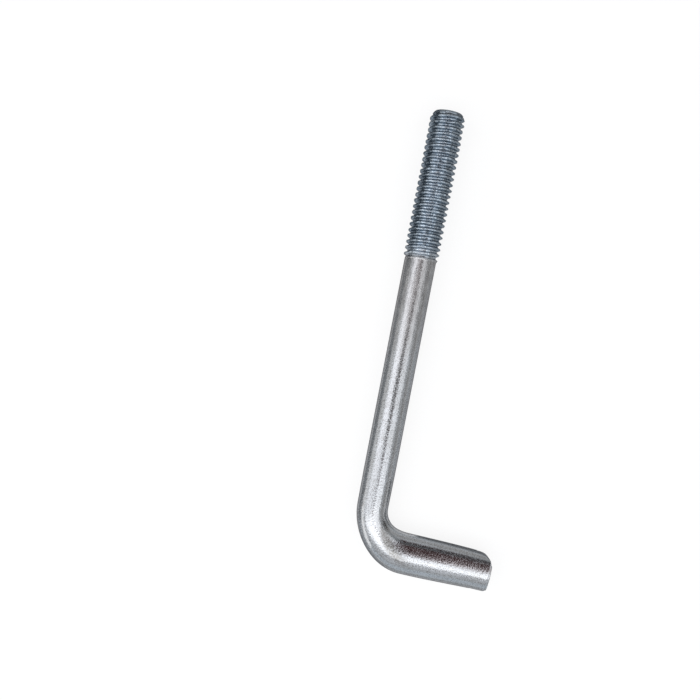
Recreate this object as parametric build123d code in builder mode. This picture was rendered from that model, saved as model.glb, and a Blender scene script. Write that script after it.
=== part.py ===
"""A bent anchor bolt of the kind sold as a J bolt.

One steel rod: rolled thread at one end, plain shank, and a short leg pressed over at about a right angle.
The bolt's axis is Y with the thread's tip at +Y, the leg points to +X, and Z is square to the bend.
The origin is on the axis at the foot of the thread, where full thread begins.
"""

import math
import os

from build123d import *

os.makedirs("parts", exist_ok=True)

# Thread, 3/8 inch with 16 turns to the inch
thread_d = 9.45  # over the crests
thread_pitch = 25.4 / 16
thread_depth = 0.82
crest_width = 0.34  # flat left on each ridge, along the axis
ridge_sink = 0.1  # how far each ridge reaches into the core
trim_clearance = 0.01  # between the full crests and the outline that trims both ends
flank_angle = 60.0  # between a groove's two flanks
thread_length = 38.6  # foot of the full thread to the tip
runout_length = 0.9  # faded thread below the foot
point_length = 2.2  # taper over the first turns at the tip
point_d = 8.15  # across the tip, before its edge is broken

# Shank and bend
shank_d = 8.45
corner_depth = 77.5  # foot of the thread down to where the shank's and the leg's axes cross
included_angle = 92.6  # between shank and leg
bend_radius = 10.8  # of the centreline
lead_length = 9.0  # straight run above the bend, over which the shank thins

# Sections through the bend: share of its arc, width in the bend's plane, thickness square to it
bend_sections = (
    (0.0, 8.3, 8.3),
    (0.2, 8.35, 8.25),
    (0.4, 8.8, 8.1),
    (0.6, 9.65, 7.9),
    (0.8, 10.6, 7.75),
    (1.0, 11.0, 7.7),
)

# Leg
reach = 33.6  # where the axes cross to the leg's end
leg_end_width = 10.3
leg_end_thickness = 7.6
rollover_length = 4.5  # corner that the shears drew round, on the side that faces the thread
rollover_depth = 2.6
heel_depth = 0.7  # how far the end's other corner is drawn in
crop_steps = 6
edge_break = 0.3  # round both ends

crest_r = thread_d / 2
root_r = crest_r - thread_depth
shank_r = shank_d / 2

# The centreline through the hook: a straight lead, the bend's arc and the leg
turn = 180 - included_angle
tangent_length = bend_radius * math.tan(math.radians(turn / 2))
bend_top = -corner_depth + tangent_length
lead_top = bend_top + lead_length
with BuildLine() as centreline:
    lead = Line((0, lead_top), (0, bend_top))
    bend = JernArc(start=lead @ 1, tangent=lead % 1, radius=bend_radius, arc_size=turn)
    leg = PolarLine(bend @ 1, reach - tangent_length, direction=bend % 1)


def across(line, share):
    """The plane square to a line at a share of its length, with its X along the part's Z."""
    return Plane(origin=line @ share, x_dir=(0, 0, 1), z_dir=line % share)


def oval(line, share, width, thickness, shift=0.0):
    """An oval section of the rod, square to a line at a share of its length, shifted towards the heel."""
    with BuildSketch(across(line, share)) as section:
        with Locations((0, shift)):
            Ellipse(thickness / 2, width / 2)
    return section.sketch


# Hook: the round shank thins above the bend and is pressed to an oval through it
bend_ovals = [oval(bend, *section) for section in bend_sections]
crop_start = 1 - rollover_length / leg.length
crop_end = 1 - edge_break / leg.length
crop_ovals = [oval(leg, crop_start, leg_end_width, leg_end_thickness)]

# The cropped end: the shears draw both its sides in, the one towards the thread by far the more
for step in range(1, crop_steps + 1):
    angle = math.radians(90 * step / crop_steps)
    inner_draw = rollover_depth * (1 - math.cos(angle))
    heel_draw = heel_depth * (1 - math.cos(angle)) ** 3
    share = crop_start + (crop_end - crop_start) * math.sin(angle)
    width = leg_end_width - inner_draw - heel_draw
    crop_ovals.append(oval(leg, share, width, leg_end_thickness, (inner_draw - heel_draw) / 2))
end_width = leg_end_width - rollover_depth - heel_depth - 2 * edge_break
end_shift = (rollover_depth - heel_depth) / 2
crop_ovals.append(oval(leg, 1, end_width, leg_end_thickness - 2 * edge_break, end_shift))

with BuildPart() as hook:
    loft([oval(lead, 0, shank_d, shank_d), bend_ovals[0]], ruled=True)
    loft(bend_ovals)
    loft([bend_ovals[-1], *crop_ovals], ruled=True)


def ridge_half_width(radius):
    """Half the thread ridge's width along the axis, at a radius."""
    return crest_width / 2 + (crest_r - radius) * math.tan(math.radians(flank_angle / 2))


# One turn of the thread's ridge, rooted a little inside the core that carries it
ridge_base_r = root_r - ridge_sink
with BuildPart() as ridge:
    with BuildLine() as helix:
        Helix(pitch=thread_pitch, height=thread_pitch, radius=root_r, direction=(0, 1, 0))
    with BuildSketch(Plane(origin=(0, 0, 0), x_dir=helix.line @ 0, z_dir=(-1, 0, 0))):
        with BuildLine():
            Polyline(
                (ridge_base_r, -ridge_half_width(ridge_base_r)),
                (crest_r, -crest_width / 2),
                (crest_r, crest_width / 2),
                (ridge_base_r, ridge_half_width(ridge_base_r)),
                close=True,
            )
        make_face()
    sweep(path=helix.line, is_frenet=True)

# The threaded rod is made long at both ends and then trimmed, so that no turn ends square
spare = 2 * thread_pitch
first_turn = -runout_length - thread_pitch / 2
turns = math.ceil((thread_length - first_turn) / thread_pitch) + 1
trim_r = crest_r + trim_clearance
with BuildPart() as bolt:
    with BuildSketch(Plane.XZ.offset(spare)):
        Circle(root_r)
    extrude(amount=-(thread_length + 2 * spare))
    add([ridge.part.moved(Location((0, first_turn + thread_pitch * i, 0))) for i in range(turns)])

    # Trim: the crests fade in over the runout and taper to the point
    with BuildSketch():
        with BuildLine():
            Polyline(
                (0, -runout_length),
                (shank_r, -runout_length),
                (trim_r, 0),
                (trim_r, thread_length - point_length),
                (point_d / 2, thread_length - edge_break),
                (point_d / 2 - edge_break, thread_length),
                (0, thread_length),
                close=True,
            )
        make_face()
    revolve(axis=Axis.Y, mode=Mode.INTERSECT)

    # Shank, with the cone on which the grooves run out, then the hook below it
    with BuildSketch():
        with BuildLine():
            Polyline(
                (0, lead_top),
                (shank_r, lead_top),
                (shank_r, -runout_length),
                (root_r, 0),
                (0, 0),
                close=True,
            )
        make_face()
    revolve(axis=Axis.Y)
    add(hook.part)

bolt.part.label = "j_bolt"
export_step(bolt.part, "parts/j_bolt.step")
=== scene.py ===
"""Looks of a zinc-plated bent anchor bolt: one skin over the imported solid, its finish, a studio.

The skin is worked out in millimetres in the part's frame and goes into its mesh in metres.
The bolt's axis is Y with the thread's tip at +Y, the leg points to +X, and +Z is up.
"""

import math

import bpy
import numpy as np
from mathutils import Matrix, Vector


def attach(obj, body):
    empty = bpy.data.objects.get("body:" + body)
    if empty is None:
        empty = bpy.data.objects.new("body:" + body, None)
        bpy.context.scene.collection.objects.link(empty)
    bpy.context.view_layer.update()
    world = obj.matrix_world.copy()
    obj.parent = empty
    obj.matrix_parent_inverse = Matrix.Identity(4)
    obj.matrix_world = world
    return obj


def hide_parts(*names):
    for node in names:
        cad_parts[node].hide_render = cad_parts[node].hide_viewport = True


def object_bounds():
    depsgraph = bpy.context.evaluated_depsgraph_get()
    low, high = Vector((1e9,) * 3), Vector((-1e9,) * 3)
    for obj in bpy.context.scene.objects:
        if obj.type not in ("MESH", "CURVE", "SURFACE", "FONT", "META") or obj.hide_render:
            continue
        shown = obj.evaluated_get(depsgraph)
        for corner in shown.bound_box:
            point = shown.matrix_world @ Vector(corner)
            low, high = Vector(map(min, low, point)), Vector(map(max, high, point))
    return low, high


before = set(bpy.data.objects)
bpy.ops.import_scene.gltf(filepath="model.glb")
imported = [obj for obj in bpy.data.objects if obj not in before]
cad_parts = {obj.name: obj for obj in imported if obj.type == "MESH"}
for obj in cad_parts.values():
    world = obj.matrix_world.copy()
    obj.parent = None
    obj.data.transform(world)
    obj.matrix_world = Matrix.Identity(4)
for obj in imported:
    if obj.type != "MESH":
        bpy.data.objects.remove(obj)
cad_low, cad_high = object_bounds()

MM = 0.001

# Thread, in millimetres
CREST_R = 4.725
ROOT_R = 3.905
RIDGE_DEPTH = CREST_R - ROOT_R
PITCH = 25.4 / 16
CREST_WIDTH = 0.29
FLANK_SLOPE = math.tan(math.radians(30))
THREAD_LENGTH = 38.6
RUNOUT = 1.15
RIDGE_START = -0.3 - PITCH / 2
POINT_LENGTH = 1.8
POINT_R = 3.95
TIP_BREAK = 0.3

# How rolling leaves the ridge, in millimetres; the spacings are along the helix
CREST_DROP = 0.04
CREST_WANDER = 0.045
SLOW_SPACING = 1.7
QUICK_SPACING = 0.55
LEAN_BY = 0.09
LEAN_SPACING = 2.3
CREST_ROUNDING = 0.03
ROOT_ROUNDING = 0.035
LAP_DEPTH = 0.07
LAP_SPREAD = 0.07
LAP_SPACING = 1.1
LAP_MIDDLE = 0.2
LAP_CHANGE = 0.7
NICK_DEPTH = 0.35
NICK_SPREAD = 0.3
NICK_SPACING = 0.8
NICK_THRESHOLD = 0.55

# Shank, bend and leg, in millimetres
SHANK_R = 4.225
BEND_RADIUS = 10.8
TURN = math.radians(87.4)
CORNER_DEPTH = 77.5
TANGENT = BEND_RADIUS * math.tan(TURN / 2)
BEND_TOP = -CORNER_DEPTH + TANGENT
LEAD_TOP = BEND_TOP + 9.0
LEG_LENGTH = 33.6 - TANGENT
STRAIGHT_AGAIN = 19.0
ROLLOVER_LENGTH = 4.5
ROLLOVER_DEPTH = 2.6
HEEL_DEPTH = 0.45
EDGE_BREAK = 0.3
RIM_INSET = 0.09
RIM_FROM, RIM_TO = 0.62, 0.45
TRIM_ROUNDING = 0.16
UNTRIMMED = 99.0
END_WIDTH = 10.3
END_THICKNESS = 7.6

# Evenly spaced round the bend from its top, in millimetres; the shifts are towards the heel
BEND_WIDTHS = (8.3, 8.35, 8.8, 9.65, 10.6, 11.0)
BEND_THICKNESSES = (8.3, 8.25, 8.1, 7.9, 7.75, 7.7)
BEND_SHIFTS = (0.0, 0.0, -0.02, -0.08, -0.17, -0.24)

# Grid of the skin, and where its rows start and stop along the axis
COLUMNS = 112
ROWS_PER_TURN = 22
THREAD_ROWS_TOP = THREAD_LENGTH - 0.04
THREAD_ROWS_FOOT = -1.6
SHANK_ROWS_TOP = -1.8
SHANK_ROWS = 40
LEAD_ROWS = 8
BEND_ROWS = 44
LEG_ROWS = 21
CROP_ROWS = 25

# The ridge's wander, the same on each run
chance = np.random.default_rng(816)
SLOW_HEIGHTS = chance.uniform(-1, 1, 997)
QUICK_HEIGHTS = chance.uniform(-1, 1, 1499)
LEANS = chance.uniform(-1, 1, 499)
LAPS = chance.uniform(-1, 1, 773)
NICKS = chance.uniform(0, 1, 1213)


# ---------------------------------------------------------------- shapes

def ease(x, low, high):
    """Smooth step: 0 below low, 1 above high, and 3t^2 - 2t^3 between them."""
    t = np.clip((x - low) / (high - low), 0, 1)
    return t * t * (3 - 2 * t)


def wander(where, spacing, knots):
    """Smooth random line: values at evenly spaced knots, joined by eased steps."""
    at = where / spacing
    knot = np.floor(at).astype(int)
    part = ease(at - knot, 0, 1)
    count = len(knots)
    return knots[knot % count] * (1 - part) + knots[(knot + 1) % count] * part


def least(first, second, soft):
    """Smooth minimum of two lengths, which rounds the corner where they cross.

    It is -soft * log(exp(-first / soft) + exp(-second / soft)).
    """
    return -soft * np.logaddexp(-first / soft, -second / soft)


def thread_radius(y, angle):
    """Radius of the rolled thread at a place along the axis and an angle round it.

    The nearest ridge's centre is at start + pitch * (angle / full turn + whole turns).
    The ridge is a trapezoid whose corners are rounded by a smooth minimum, its crest is lapped
    along the middle, as rolling leaves it, and its height and lean wander along the helix.
    """
    turns = (y - RIDGE_START) / PITCH - angle / (2 * np.pi)
    whole = np.round(turns)
    # the way along the helix, from ten turns below its start so that it is never negative
    along = (whole * 2 * np.pi + angle + 20 * np.pi) * ROOT_R
    off = (turns - whole) * PITCH + LEAN_BY * wander(along, LEAN_SPACING, LEANS)

    slow = wander(along, SLOW_SPACING, SLOW_HEIGHTS)
    quick = wander(along, QUICK_SPACING, QUICK_HEIGHTS)
    top = RIDGE_DEPTH - CREST_DROP + CREST_WANDER * (slow * 0.5 + quick * 0.5)
    flank = RIDGE_DEPTH + (CREST_WIDTH / 2 - np.abs(off)) / FLANK_SLOPE
    height = least(flank, top, CREST_ROUNDING)
    height = ROOT_ROUNDING * np.logaddexp(height / ROOT_ROUNDING, 0.0)

    lap = np.clip(LAP_MIDDLE + LAP_CHANGE * wander(along, LAP_SPACING, LAPS), 0, 1)
    nick = np.clip(wander(along, NICK_SPACING, NICKS) - NICK_THRESHOLD, 0, 1)
    height = height - LAP_DEPTH * lap * np.exp(-((off / LAP_SPREAD) ** 2))
    height = height - NICK_DEPTH * nick * np.exp(-((off / NICK_SPREAD) ** 2))
    return ROOT_R + np.clip(height, 0, RIDGE_DEPTH)


def outline_radius(y):
    """Largest radius of the thread along the axis: run-out, full crests, then the point."""
    point_foot = THREAD_LENGTH - POINT_LENGTH
    places = (-RUNOUT, 0.0, point_foot, THREAD_LENGTH - TIP_BREAK, THREAD_LENGTH)
    radii = (SHANK_R, CREST_R, CREST_R, POINT_R, POINT_R - TIP_BREAK)
    return np.interp(y, places, radii)


def shank_cone(y):
    """Least radius along the axis: the cone on which the grooves run out into the shank."""
    return np.interp(y, (-RUNOUT, 0.0), (SHANK_R, ROOT_R))


def smooth_through(values, share):
    """Curve through evenly spaced values, read at shares of its length.

    Each piece is a cubic whose slope at a value is the mean slope to that value's neighbours.
    """
    values = np.asarray(values, float)
    slopes = np.gradient(values)
    slopes[0] = slopes[-1] = 0.0
    place = np.clip(share, 0, 1) * (len(values) - 1)
    knot = np.minimum(place.astype(int), len(values) - 2)
    t = place - knot
    return (
        values[knot] * (2 * t**3 - 3 * t**2 + 1)
        + slopes[knot] * (t**3 - 2 * t**2 + t)
        + values[knot + 1] * (3 * t**2 - 2 * t**3)
        + slopes[knot + 1] * (t**3 - t**2)
    )


# A row of the skin is a centre in the bend's plane (x, y), the direction in which the rod runs
# on (x, y), the half width in that plane, the half thickness square to it, the shift towards
# the inner side, and the run from the tip.

def straight_rows():
    """Rows over the tip's face and down the axis, and the first and last of the thread's rows.

    Below the thread the radius is the shank's, and changes evenly over the lead to the bend's.
    The thread's rows get their own radii later.
    """
    tip_shares = np.array([0.02, 0.35, 0.7, 0.9, 1.0])
    tip_dish = np.array([-0.05, -0.03, -0.01, 0.0, 0.0])
    tip_count = len(tip_shares)
    thread = np.arange(THREAD_ROWS_TOP, THREAD_ROWS_FOOT, -PITCH / ROWS_PER_TURN)
    shank = np.linspace(SHANK_ROWS_TOP, LEAD_TOP, SHANK_ROWS)
    lead = np.linspace(LEAD_TOP, BEND_TOP, LEAD_ROWS + 1)[1:]
    y = np.concatenate([THREAD_LENGTH + tip_dish, thread, shank, lead])
    lead_share = np.clip((LEAD_TOP - y) / (LEAD_TOP - BEND_TOP), 0, 1)
    radius = SHANK_R + (BEND_WIDTHS[0] / 2 - SHANK_R) * lead_share
    radius[:tip_count] = (POINT_R - TIP_BREAK) * tip_shares
    none = 0 * y
    rows = np.stack([none, y, none, none - 1, radius, radius, none, THREAD_LENGTH - y], 1)
    return rows, tip_count, tip_count + len(thread)


def bend_rows():
    """Rows round the bend: an arc, with the pressed oval's sizes read along it."""
    share = np.linspace(0, 1, BEND_ROWS + 1)[1:]
    swing = share * TURN
    values = [
        BEND_RADIUS - BEND_RADIUS * np.cos(swing),
        BEND_TOP - BEND_RADIUS * np.sin(swing),
        np.sin(swing),
        -np.cos(swing),
        smooth_through(BEND_WIDTHS, share) / 2,
        smooth_through(BEND_THICKNESSES, share) / 2,
        smooth_through(BEND_SHIFTS, share),
        THREAD_LENGTH - BEND_TOP + swing * BEND_RADIUS,
    ]
    return np.stack(values, 1)


def leg_rows(bend_end):
    """Rows down the leg from the bend's last row, and how the shears trimmed each of them.

    The leg keeps its oval to the end, where the trims narrow it in plan: its inner side by the
    rollover's depth * (1 - cos) over a quarter turn, its heel by its own depth * (1 - cos)^3.
    A trim is the inner limit, the heel's limit, the inset of the broken edge, and the scale
    towards the middle of the end's face.
    """
    crop_start = LEG_LENGTH - ROLLOVER_LENGTH
    crop_run = ROLLOVER_LENGTH - EDGE_BREAK
    plain = np.linspace(0, crop_start, LEG_ROWS + 1)[1:]
    angle = np.linspace(0, np.pi / 2, CROP_ROWS + 1)[1:]
    bead = np.radians(np.array([22.0, 45.0, 68.0, 90.0]))
    face = np.array([0.97, 0.9, 0.7, 0.4, 0.05])
    run = np.concatenate(
        [
            plain,
            crop_start + crop_run * np.sin(angle),
            crop_start + crop_run + EDGE_BREAK * np.sin(bead),
            np.full(len(face), LEG_LENGTH),
        ]
    )
    taper = np.clip(run / crop_start, 0, 1) ** 2
    half_width = (BEND_WIDTHS[-1] + (END_WIDTH - BEND_WIDTHS[-1]) * taper) / 2
    half_thickness = (BEND_THICKNESSES[-1] + (END_THICKNESS - BEND_THICKNESSES[-1]) * taper) / 2
    run_x, run_y = math.sin(TURN), -math.cos(TURN)
    values = [
        bend_end[0] + run_x * run,
        bend_end[1] + run_y * run,
        0 * run + run_x,
        0 * run + run_y,
        half_width,
        half_thickness,
        BEND_SHIFTS[-1] * (1 - ease(run, 0, STRAIGHT_AGAIN)),
        bend_end[7] + run,
    ]

    drawn = np.concatenate([0 * plain, 1 - np.cos(angle), np.ones(len(bead) + len(face))])
    cropped = run > crop_start
    inner_limit = np.where(cropped, END_WIDTH / 2 - ROLLOVER_DEPTH * drawn, UNTRIMMED)
    heel_limit = np.where(cropped, END_WIDTH / 2 - HEEL_DEPTH * drawn**3, UNTRIMMED)
    edge = [0 * plain, 0 * angle, EDGE_BREAK * (1 - np.cos(bead)), EDGE_BREAK + 0 * face]
    rim = RIM_INSET * ease(run, LEG_LENGTH - RIM_FROM, LEG_LENGTH - RIM_TO)
    inset = rim + np.concatenate(edge)
    scale = np.concatenate([np.ones(len(run) - len(face)), face])
    return np.stack(values, 1), np.stack([inner_limit, heel_limit, inset, scale], 1)


def with_ends(places):
    """All rows' points in one list, then the mean of the first row and that of the last."""
    return np.concatenate([places.reshape(-1, 3), places[:1].mean(1), places[-1:].mean(1)])


def bolt_skin():
    """The bolt's surface: a closed tube over rows along the rod and columns round it.

    A point is centre + across * (half width * sin(angle) + shift) + up * half thickness *
    cos(angle), where across points to the inner side of the bend. On the thread both halves
    are the thread's radius. With the points come their places on the rod as if it were
    straight, how far up the ridge they are, and the number of rows.
    """
    straight, thread_from, thread_to = straight_rows()
    bend = bend_rows()
    leg, trims = leg_rows(bend[-1])
    rows = np.concatenate([straight, bend, leg])
    angle = np.arange(COLUMNS) * 2 * np.pi / COLUMNS
    centre_x, centre_y, run_x, run_y, half_width, half_thickness, shift, run = (
        rows[:, i : i + 1] for i in range(8)
    )
    half_width = np.repeat(half_width, COLUMNS, 1)
    half_thickness = np.repeat(half_thickness, COLUMNS, 1)

    threaded = slice(thread_from, thread_to)
    y = np.repeat(centre_y[threaded], COLUMNS, 1)
    radius = thread_radius(y, np.repeat(angle[None], len(y), 0))
    radius = np.minimum(np.maximum(radius, shank_cone(y)), outline_radius(y))
    radius[y < -RUNOUT] = SHANK_R
    half_width[threaded] = radius
    half_thickness[threaded] = radius
    across = half_width * np.sin(angle) + shift
    up = half_thickness * np.cos(angle)

    # the leg: trimmed in plan, drawn in at the end's edge, scaled to the middle of its face
    end = slice(len(rows) - len(trims), None)
    inner_limit, heel_limit, inset, scale = (trims[:, i : i + 1] for i in range(4))
    wide = least(across[end], inner_limit - inset, TRIM_ROUNDING)
    wide = -least(-wide, heel_limit - inset, TRIM_ROUNDING)
    middle = np.where(inner_limit < UNTRIMMED, (inner_limit - heel_limit) / 2, 0.0)
    across[end] = middle + (wide - middle) * scale
    up[end] = up[end] * (1 - inset / half_thickness[end].max()) * scale

    points = np.stack([centre_x - run_y * across, centre_y + run_x * across, up], 2)
    straightened = np.stack([across, -run + 0 * across, up], 2)
    crest = np.zeros(half_width.shape)
    crest[threaded] = (radius - ROOT_R) / RIDGE_DEPTH
    return with_ends(points), with_ends(straightened), np.append(crest, [0.0, 0.0]), len(rows)


def tube_faces(rows, columns):
    """Corner numbers of a tube's quads, and of the fans that close both its ends."""
    i = np.arange(rows - 1)[:, None]
    j = np.arange(columns)[None]
    k = (j + 1) % columns
    quads = [i * columns + j, (i + 1) * columns + j, (i + 1) * columns + k, i * columns + k]
    quads = np.stack(quads, 2).reshape(-1, 4)
    j, k = j[0], k[0]
    last_row = (rows - 1) * columns
    head_end = rows * columns
    head = np.stack([j, k, 0 * j + head_end], 1)
    tail = np.stack([last_row + k, last_row + j, 0 * j + head_end + 1], 1)
    return quads.tolist() + head.tolist() + tail.tolist()


def new_piece(name, points_mm, faces):
    """A smooth-shaded mesh object at the origin, from points in millimetres."""
    mesh = bpy.data.meshes.new(name)
    mesh.from_pydata((np.asarray(points_mm) * MM).tolist(), [], faces)
    mesh.polygons.foreach_set("use_smooth", np.ones(len(mesh.polygons), bool))
    mesh.update()
    piece = bpy.data.objects.new(name, mesh)
    bpy.context.scene.collection.objects.link(piece)
    return piece


def keep_on_points(piece, name, kind, values):
    """Stores one number or one vector for each point of a piece, for its material to read."""
    layer = piece.data.attributes.new(name, kind, "POINT")
    field = "value" if kind == "FLOAT" else "vector"
    layer.data.foreach_set(field, np.asarray(values, np.float32).ravel())


# ---------------------------------------------------------------- shader maths

class Value:
    """A node's output socket, with the operators that shader maths needs."""

    def __init__(self, tree, socket):
        self.tree, self.socket = tree, socket

    def math(self, operation, other):
        return self.tree.node("Math", {"operation": operation}, {0: self, 1: other})

    def __add__(self, other):
        return self.math("ADD", other)

    def __sub__(self, other):
        return self.math("SUBTRACT", other)

    def __mul__(self, other):
        return self.math("MULTIPLY", other)

    def __rsub__(self, other):
        return (self * -1.0).math("ADD", other)

    __radd__ = __add__
    __rmul__ = __mul__

    def between(self, low, high, start=0.0, end=1.0):
        """Eased from start at low to end at high."""
        return self.tree.node(
            "MapRange",
            {"interpolation_type": "SMOOTHSTEP"},
            {"Value": self, "From Min": low, "From Max": high, "To Min": start, "To Max": end},
            "Result",
        )

    def below(self, low, high):
        """1 up to low, eased to 0 at high."""
        return self.between(low, high, 1.0, 0.0)

    def band(self, rise_from, rise_to, fall_from, fall_to):
        """1 on a band, eased to 0 on both its sides."""
        return self.between(rise_from, rise_to) * self.below(fall_from, fall_to)

    def beside(self, name):
        """Another output of the same node."""
        return Value(self.tree, self.socket.node.outputs[name])


class Tree:
    """A material's or the world's nodes, made one at a time."""

    def __init__(self, owner):
        owner.use_nodes = True
        self.nodes, self.links = owner.node_tree.nodes, owner.node_tree.links
        self.nodes.clear()

    def node(self, kind, settings=None, inputs=None, output=0):
        """Adds a node of a type and gives one of its outputs.

        Its settings are set first, then its sockets' values or links.
        """
        made = self.nodes.new("ShaderNode" + kind)
        for key, value in (settings or {}).items():
            setattr(made, key, value)
        for key, value in (inputs or {}).items():
            socket = made.inputs[key]
            if isinstance(value, Value):
                self.links.new(value.socket, socket)
            else:
                socket.default_value = value
        return Value(self, made.outputs[output]) if len(made.outputs) else None

    def mix(self, factor, first, second):
        """Mixes two colours."""
        inputs = {"Factor": factor, 6: first, 7: second}
        return self.node("Mix", {"data_type": "RGBA"}, inputs, 2)

    def stretched(self, vector, scale):
        """A vector with each of its parts scaled."""
        return self.node("Mapping", {}, {"Vector": vector, "Scale": scale})

    def noise(self, vector, scale, detail, roughness):
        """Cloudy noise between 0 and 1 at a scale per metre."""
        inputs = {"Vector": vector, "Scale": scale, "Detail": detail, "Roughness": roughness}
        return self.node("TexNoise", {}, inputs)


def grey(level, tint=(1.0, 1.0, 1.0)):
    """A colour from a level and a tint, as the renderer reads colours."""
    return (level * tint[0], level * tint[1], level * tint[2], 1.0)


# Zinc on the plain rod
PLAIN_DULL = grey(0.45, (0.98, 1.0, 1.02))
PLAIN_BRIGHT = grey(0.50, (0.97, 1.0, 1.04))
PLAIN_PIT = grey(0.30, (1.0, 0.99, 1.0))
DRAWN_DARK = grey(0.29, (1.02, 0.99, 0.99))
DRAWN_BRIGHT = grey(0.46, (1.01, 1.0, 1.0))
# painted shade: the dark line along the bend's inner crease
CREASE_SHADE_PAINT = grey(0.10, (0.86, 1.02, 1.08))
# painted highlight on top of the bend
BEND_HIGHLIGHT_PAINT = grey(0.72, (1.0, 1.0, 1.01))
# painted shade beside the bend's highlight, speckled like the plating's grain
SPECKLED_SHADE_PAINT = grey(0.24, (1.02, 1.0, 0.97))
# painted dark reflection along the leg
WARM_REFLECTION_PAINT = grey(0.26, (1.25, 0.94, 0.95))
GRAZING_TINT = (0.25, 0.25, 0.26, 1.0)

# Zinc on the thread
THREAD_DULL = grey(0.36, (0.80, 0.97, 1.14))
THREAD_BRIGHT = grey(0.42, (0.83, 0.98, 1.13))
THREAD_FLECK = grey(0.55, (0.89, 1.0, 1.11))
THREAD_PIT = grey(0.18, (0.85, 0.98, 1.1))
THREAD_SPARK = grey(0.80, (0.89, 1.0, 1.10))
THREAD_DUST = grey(0.16, (0.88, 0.98, 1.08))
THREAD_CREST = grey(0.50, (0.92, 1.0, 1.08))
RUNOUT_BRIGHT = grey(0.64, (0.93, 1.0, 1.07))
# painted shade on the thread's point
POINT_SHADE_PAINT = grey(0.13, (0.92, 1.0, 1.06))

# Height of the plating's relief, in metres
SPECKLE_HEIGHT = 0.00004
PLAIN_FLECK_HEIGHT = 0.000004
THREAD_FLECK_HEIGHT = 0.00005
PLAIN_GRAIN_HEIGHT = 0.000006
DRAWN_GRAIN_HEIGHT = 0.00003


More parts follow.
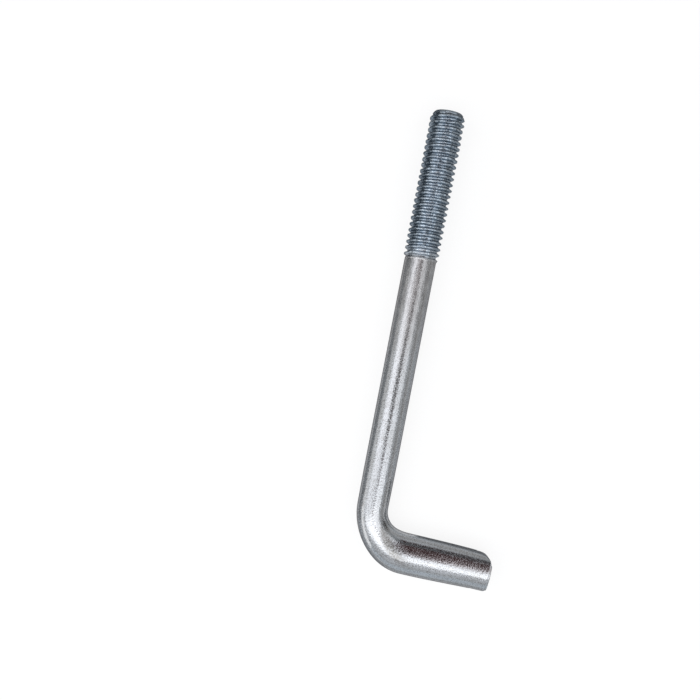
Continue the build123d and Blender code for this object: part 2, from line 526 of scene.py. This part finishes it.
def zinc_finish():
    """Bright zinc on rolled steel: fine speckle, drawn grain along the rod, cooler on the thread.

    Patterns and marks follow the rod as if it were straight, in metres: side is across it
    towards the inner side, run is minus the way from the tip, and up is above its middle.
    """
    material = bpy.data.materials.new("bright_zinc")
    t = Tree(material)
    along = t.node("Attribute", {"attribute_name": "straightened"}, {}, "Vector")
    crest = t.node("Attribute", {"attribute_name": "crest"}, {}, "Fac")
    side = t.node("SeparateXYZ", {}, {0: along}, "X")
    run, up = side.beside("Y"), side.beside("Z")
    threaded = run.between(-0.0396, -0.0384)
    near_thread = run.between(-0.074, -0.046)

    cloud = t.noise(along, 160.0, 3.0, 0.6)
    grain = t.noise(t.stretched(along, (1.0, 0.14, 1.0)), 3000.0, 2.0, 0.6)
    speckle = t.noise(along, 2500.0, 1.0, 0.6)
    dust = t.noise(along, 3500.0, 1.0, 0.5)
    fleck = t.noise(along, 1300.0, 1.0, 0.5)

    plain = t.mix(cloud.between(0.3, 0.7), PLAIN_DULL, PLAIN_BRIGHT)
    plain = t.mix(dust.between(0.36, 0.50), PLAIN_PIT, plain)
    drawn_colour = t.mix(grain.between(0.36, 0.64), DRAWN_DARK, DRAWN_BRIGHT)
    plain = t.mix(near_thread * 0.75, plain, drawn_colour)

    thread = t.mix(cloud.between(0.3, 0.7), THREAD_DULL, THREAD_BRIGHT)
    thread = t.mix(fleck.between(0.48, 0.64), thread, THREAD_FLECK)
    thread = t.mix(speckle.between(0.44, 0.30), thread, THREAD_PIT)
    thread = t.mix(dust.between(0.56, 0.68) * 0.6, thread, THREAD_SPARK)
    thread = t.mix(dust.between(0.44, 0.32) * 0.6, thread, THREAD_DUST)
    thread = t.mix(crest.between(0.8, 1.0) * 0.2, thread, THREAD_CREST)
    # the run-out turns are lighter; the point is darker, a painted shade on its chamfer
    thread = t.mix(run.below(-0.0374, -0.0364) * 0.55, thread, RUNOUT_BRIGHT)
    thread = t.mix(run.between(-0.0018, -0.0006) * 0.6, thread, POINT_SHADE_PAINT)
    colour = t.mix(threaded, plain, thread)

    # bending leaves a crease along the inner side, painted as a dark line of painted shade; on top
    # of the bend lies a painted highlight, beside it a speckled painted shade
    off_crease = side + run * 0.0136 - 0.00138
    crease_line_shade = off_crease.band(-0.0007, -0.0001, 0.0001, 0.0005)
    crease_line_shade = crease_line_shade * run.below(-0.118, -0.112) * up.between(0.0, 0.001)
    colour = t.mix(crease_line_shade * 0.45, colour, CREASE_SHADE_PAINT)
    # painted highlight: a brighter patch on top of the bend
    painted_bend_highlight = side.band(-0.0012, -0.0004, 0.0012, 0.0022)
    painted_bend_highlight = painted_bend_highlight * run.between(-0.118, -0.113) * run.below(-0.109, -0.104)
    colour = t.mix(painted_bend_highlight * 0.4, colour, BEND_HIGHLIGHT_PAINT)
    # painted shade on a slanting strip across the bend, speckled like the plating's grain
    off_speckled_shade = side - run * 0.42 - 0.0478
    speckled_shade = off_speckled_shade.band(0.0001, 0.0012, 0.0026, 0.0040)
    speckled_shade = speckled_shade * run.between(-0.127, -0.119) * run.below(-0.1145, -0.109)
    colour = t.mix(speckled_shade * speckle.between(0.38, 0.56, 0.55, 1.0), colour, SPECKLED_SHADE_PAINT)

    # a painted dark reflection: a warmer, darker strip along the leg, which fades towards the
    # leg's end
    painted_reflection = side.band(-0.0004, 0.0012, 0.0020, 0.0028)
    painted_reflection = painted_reflection * run.below(-0.124, -0.119) * run.between(-0.146, -0.128, 0.5, 1.0)
    colour = t.mix(painted_reflection * 0.5, colour, WARM_REFLECTION_PAINT)

    # the bending tool pressed the plating smoother beyond the crease and on the heel
    pressed = off_crease.between(-0.0002, 0.0003) + side.below(-0.0022, -0.0008)
    pressed = pressed * run.below(-0.118, -0.108)
    matte = near_thread * 0.1 - threaded * 0.005
    roughness = grain.between(0.25, 0.75, 0.10, 0.15) + matte
    roughness = roughness + dust.between(0.48, 0.62) * 0.15 - pressed * 0.015

    drawn = near_thread - threaded
    height = (1.0 - pressed * 0.7 - drawn * 0.45) * speckle * SPECKLE_HEIGHT
    height = height + fleck * (threaded * THREAD_FLECK_HEIGHT + PLAIN_FLECK_HEIGHT)
    height = height + grain * (drawn * DRAWN_GRAIN_HEIGHT + PLAIN_GRAIN_HEIGHT)
    bump = t.node("Bump", {}, {"Strength": 1.0, "Distance": 1.0, "Height": height})
    surface = t.node(
        "BsdfPrincipled",
        {},
        {
            "Base Color": colour,
            "Metallic": 1.0,
            "Roughness": roughness,
            "Specular Tint": GRAZING_TINT,
            "Normal": bump,
        },
    )
    t.node("OutputMaterial", {}, {"Surface": surface})
    return material


# ---------------------------------------------------------------- the bolt

points, straightened, crest, row_count = bolt_skin()
skin = new_piece("bolt_skin", points, tube_faces(row_count, COLUMNS))
keep_on_points(skin, "straightened", "FLOAT_VECTOR", straightened * MM)
keep_on_points(skin, "crest", "FLOAT", crest)
skin.data.materials.append(zinc_finish())
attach(skin, "root")
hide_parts("j_bolt")


# ---------------------------------------------------------------- floor and cards

# Cards are placed in metres along the camera's right and up, and in height
CAMERA_RIGHT = Vector((0.9817, 0.1905, 0.0))
CAMERA_UP = Vector((-0.1905, 0.9817, 0.0))
FLOOR_Z = cad_low.z
FLOOR_HALF = 3.0
WALL = 1.6
WALL_FOOT = -0.1
CEILING = 0.74
BOX_HEIGHT = 0.72
SLEEVE_HEIGHT = 0.68
OPERATOR_HEIGHT = 0.66
SHIRT_HEIGHT = 0.64
CAMERA_BODY_HEIGHT = 0.262

# Tints that several cards share
NEUTRAL = (1.0, 1.0, 1.0)
PALE = (0.99, 0.99, 1.02)
PALE_COOL = (0.99, 1.0, 1.02)
COOL = (0.98, 1.0, 1.03)
COOLER = (0.97, 1.0, 1.03)
LILAC = (0.98, 0.99, 1.03)
FLAG_GREY = (0.96, 1.0, 1.04)


def seen_mask(t):
    """1 for camera, glossy and transmission rays, 0 for the rest."""
    camera = t.node("LightPath", output="Is Camera Ray")
    glossy, through = camera.beside("Is Glossy Ray"), camera.beside("Is Transmission Ray")
    return camera.math("MAXIMUM", glossy).math("MAXIMUM", through)


def floor_finish():
    """White paper that keeps the shadow, with a little light of its own to camera and gloss."""
    material = bpy.data.materials.new("white_paper")
    t = Tree(material)
    paper = t.node("BsdfDiffuse", {}, {"Color": grey(0.17)})
    glow = t.node("Emission", {}, {"Color": grey(1.0), "Strength": seen_mask(t) * 0.84})
    both = t.node("AddShader", {}, {0: paper, 1: glow})
    t.node("OutputMaterial", {}, {"Surface": both})
    return material


def card_finish(name, level, tint):
    """A lit card of one plain brightness."""
    material = bpy.data.materials.new(name)
    t = Tree(material)
    glow = t.node("Emission", {}, {"Color": grey(1.0, tint), "Strength": level})
    t.node("OutputMaterial", {}, {"Surface": glow})
    return material


def new_card(name, points_mm, level, tint):
    """A lit card through points in millimetres, unseen by the camera and without a shadow."""
    card = new_piece(name, points_mm, [tuple(range(len(points_mm)))])
    card.data.materials.append(card_finish(name, level, tint))
    card.visible_camera = card.visible_shadow = False
    return card


def flat_card(name, corners, level, tint):
    """A card through corners given as camera-right, camera-up and height."""
    places = [CAMERA_RIGHT * a + CAMERA_UP * b + Vector((0, 0, c)) for a, b, c in corners]
    new_card(name, [tuple(place / MM) for place in places], level, tint)


def cut_card(name, outline, height, level, tint=NEUTRAL):
    """A level card cut to an outline of camera-right and camera-up places."""
    flat_card(name, [(a, b, height) for a, b in outline], level, tint)


def box_card(name, left, right, near, far, level, tint=NEUTRAL, height=BOX_HEIGHT):
    """A level card between two camera-right and two camera-up places."""
    outline = [(left, near), (right, near), (right, far), (left, far)]
    cut_card(name, outline, height, level, tint)


def wall_card(name, start, end, level, tint=NEUTRAL):
    """An upright card between two places, from below the floor to the ceiling."""
    foot = [(*start, WALL_FOOT), (*end, WALL_FOOT)]
    flat_card(name, foot + [(*end, CEILING), (*start, CEILING)], level, tint)


def flag(name, start, end, out, rise, level, tint=FLAG_GREY):
    """A low flag beside the bolt, which rises from its near side and lights nothing else.

    start and end are the ends of its near side, just above the floor, and out is the way to
    its far side, in millimetres in the part's frame.
    """
    foot = FLOOR_Z / MM + 0.3
    a, b, far = Vector((*start, foot)), Vector((*end, foot)), Vector((*out, rise))
    card = new_card(name, [tuple(a), tuple(b), tuple(b + far), tuple(a + far)], level, tint)
    card.visible_diffuse = False


floor_corners = [(-1, -1), (1, -1), (1, 1), (-1, 1)]
floor = new_piece(
    "paper_floor",
    [(a * FLOOR_HALF / MM, b * FLOOR_HALF / MM, FLOOR_Z / MM) for a, b in floor_corners],
    [(0, 1, 2, 3)],
)
floor.data.materials.append(floor_finish())

# soft boxes overhead: left, right, near, far, level, tint
box_card("soft_box_left_near", -0.95, 0.0, -0.25, -0.10, 1.3, COOL)
box_card("soft_box_left", -0.95, 0.0, -0.10, -0.01, 1.78, PALE)
box_card("soft_box_left_far", -0.95, 0.0, -0.01, 0.06, 1.92, PALE)
box_card("soft_box_right_near", 0.0, 0.30, -0.25, -0.10, 1.62, COOL)
box_card("soft_box_right_end", 0.30, 0.78, -0.30, -0.10, 1.38, COOL)
box_card("soft_box_right", 0.0, 0.78, -0.10, -0.03, 1.6, PALE_COOL)
box_card("soft_box_right_far", 0.0, 0.78, -0.03, 0.06, 0.72, (1.0, 0.99, 1.0))
box_card("soft_box_near", -0.95, 0.30, -0.55, -0.25, 2.4, PALE_COOL)
box_card("soft_box_near_end", 0.30, 0.78, -0.55, -0.30, 2.1, PALE_COOL)
box_card("soft_box_edge", -0.95, 0.78, -0.95, -0.55, 0.85, (0.98, 1.0, 1.04))
box_card("thread_box_left", -0.60, 0.0, 0.06, 0.36, 2.15, LILAC)
box_card("thread_box_left_near", -0.95, -0.60, 0.06, 0.18, 2.15, LILAC)
box_card("thread_box_left_far", -0.95, -0.60, 0.18, 0.36, 1.35, LILAC)
box_card("thread_box_right", 0.0, 0.85, 0.06, 0.36, 1.6, COOL)

# dimmer cards from the boxes out to the walls
box_card("side_right", 0.78, WALL, -0.12, -0.02, 0.5)
box_card("side_right_far", 0.78, WALL, -0.02, 0.06, 0.18)
box_card("side_left_near", -WALL, -0.95, -0.22, -0.02, 1.4, COOLER)
box_card("side_left_far", -WALL, -0.95, -0.02, 0.20, 0.95)

# the camera's own dark body, round its lens
clock = [k * math.pi / 12 for k in range(24)]
camera_body = [(-0.0187 + 0.058 * math.cos(k), -0.036 + 0.029 * math.sin(k)) for k in clock]
cut_card("camera_body", camera_body, CAMERA_BODY_HEIGHT, 0.18)

# its operator, who leans in from the far side
operator = [
    (-0.06, 0.06),
    (-0.045, -0.06),
    (-0.055, -0.12),
    (-0.06, -0.158),
    (-0.025, -0.158),
    (0.00, -0.145),
    (0.022, -0.178),
    (0.06, -0.15),
    (0.135, -0.078),
    (0.20, 0.03),
    (0.34, 0.18),
    (0.66, 1.02),
    (0.30, 0.80),
    (0.06, 0.58),
    (-0.40, 0.52),
    (-0.24, 0.12),
    (-0.16, 0.06),
]
shirt = [(-0.10, 0.00), (0.04, 0.00), (0.03, 0.07), (-0.02, 0.36), (-0.14, 0.36)]
collar = [(0.10, 0.40), (0.30, 0.38), (0.38, 0.64), (0.14, 0.66)]
sleeve = [
    (-0.02, -0.10),
    (0.00, -0.17),
    (0.035, -0.165),
    (0.085, -0.12),
    (0.155, -0.03),
    (0.24, 0.05),
    (0.10, 0.30),
]
cut_card("operator", operator, OPERATOR_HEIGHT, 0.045, (1.7, 0.85, 0.85))
cut_card("shirt", shirt, SHIRT_HEIGHT, 1.25, (1.02, 0.99, 1.0))
cut_card("collar", collar, SHIRT_HEIGHT, 0.21, (0.95, 1.0, 1.05))
cut_card("sleeve", sleeve, SLEEVE_HEIGHT, 0.68, (1.55, 0.86, 0.87))

# the room
box_card("ceiling", -WALL, WALL, -WALL, WALL, 0.66, COOLER, CEILING)
wall_card("wall_left_near", (-WALL, -WALL), (-WALL, -0.05), 1.6)
wall_card("wall_left_middle", (-WALL, -0.05), (-WALL, 0.28), 0.95)
wall_card("wall_left_far", (-WALL, 0.28), (-WALL, WALL), 0.66)
wall_card("wall_right_near", (WALL, -WALL), (WALL, -0.05), 0.48)
wall_card("wall_right_far", (WALL, -0.05), (WALL, 0.45), 0.1)
wall_card("wall_right_end", (WALL, 0.45), (WALL, WALL), 0.55)
wall_card("wall_near", (-WALL, -WALL), (WALL, -WALL), 0.8, (0.92, 1.0, 1.08))
wall_card("wall_far", (-WALL, WALL), (WALL, WALL), 0.53)

# flags beside the bolt: near side's start and end, way out, rise, level, tint
flag("flag_left", (-13, -95), (-13, 0), (-48, 0), 10.0, 0.36)
flag("flag_left_thread", (-13, 0), (-13, 60), (-48, 0), 24.0, 0.1, (0.85, 1.0, 1.14))
flag("flag_left_foot", (-7, 0), (-7, 60), (-6, 0), 0.0, 0.6, (0.98, 1.0, 1.02))
flag("flag_corner", (-12.5, -72), (6, -91), (-20, -20), 5.0, 0.6)
flag("flag_right", (13, -62), (13, 0), (40, 0), 4.0, 0.62)
flag("flag_right_thread", (10, 0), (10, 60), (43, 0), 12.0, 0.47, NEUTRAL)
flag("flag_outside", (-6, -97), (60, -99), (0, -34), 5.0, 0.6)
flag("flag_inside", (14, -70.4), (60, -72.4), (0, 30), 0.2, 0.27)


# ---------------------------------------------------------------- world and camera

world = bpy.data.worlds.new("studio")
bpy.context.scene.world = world
world_tree = Tree(world)
strength = seen_mask(world_tree).between(0.0, 1.0, 0.7, 1.0)
sky = world_tree.node("Background", {}, {"Color": grey(1.0), "Strength": strength})
world_tree.node("OutputWorld", {}, {"Surface": sky})

# the camera looks straight down from above the shank
CAMERA_PLACE = Vector((-0.0138, -0.02798, 0.258))
camera_data = bpy.data.cameras.new("camera")
camera_data.lens = 50.0
camera_data.sensor_width = 36.0
camera_data.clip_start = 0.005
camera_data.clip_end = 20.0
camera = bpy.data.objects.new("camera", camera_data)
bpy.context.scene.collection.objects.link(camera)
turned = Matrix((CAMERA_RIGHT, CAMERA_UP, Vector((0, 0, 1)))).transposed().to_4x4()
camera.matrix_world = Matrix.Translation(CAMERA_PLACE) @ turned
bpy.context.scene.camera = camera

bpy.context.scene.view_settings.view_transform = "Standard"
